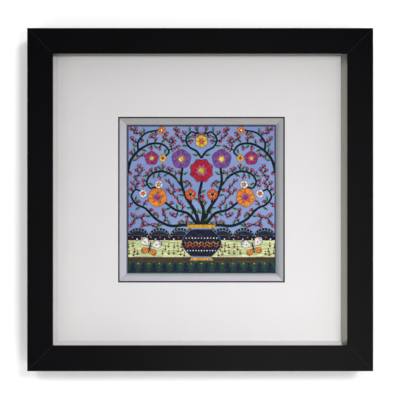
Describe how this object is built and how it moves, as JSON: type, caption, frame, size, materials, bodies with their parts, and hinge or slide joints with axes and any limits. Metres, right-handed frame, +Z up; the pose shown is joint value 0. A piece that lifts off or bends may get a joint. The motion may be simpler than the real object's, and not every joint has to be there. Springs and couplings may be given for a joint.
{
  "type": "framed embroidery picture",
  "caption": "Square embroidered cloth behind a sloping silver slip and a bevelled off-white mat, set deep in a flat black mitred box frame that hangs on a wall.",
  "frame": {"origin": "middle of the flat back of the frame, where it lies against the wall", "axes": "+Z up, the picture faces -Y, the back lies in the plane y = 0 and faces +Y"},
  "size_m": [0.3464, 0.036, 0.3436],
  "materials": {
    "frame_lacquer": "satin black lacquer over wood",
    "spacer_board": "matt off-white board",
    "mat_board": "matt off-white paper face, dark core",
    "slip_silver": "silver-grey leaf, satin",
    "embroidery": "woven cloth with raised stranded thread stitches",
    "backing_board": "bare hardboard"
  },
  "bodies": {
    "root": {"rail_top": "frame_lacquer", "rail_bottom": "frame_lacquer", "rail_left": "frame_lacquer", "rail_right": "frame_lacquer", "spacer_top": "spacer_board", "spacer_bottom": "spacer_board", "spacer_left": "spacer_board", "spacer_right": "spacer_board", "mat_board": "mat_board", "slip_top": "slip_silver", "slip_bottom": "slip_silver", "slip_left": "slip_silver", "slip_right": "slip_silver", "embroidered_cloth": "embroidery", "backing_board": "backing_board"}
  },
  "joints": []
}
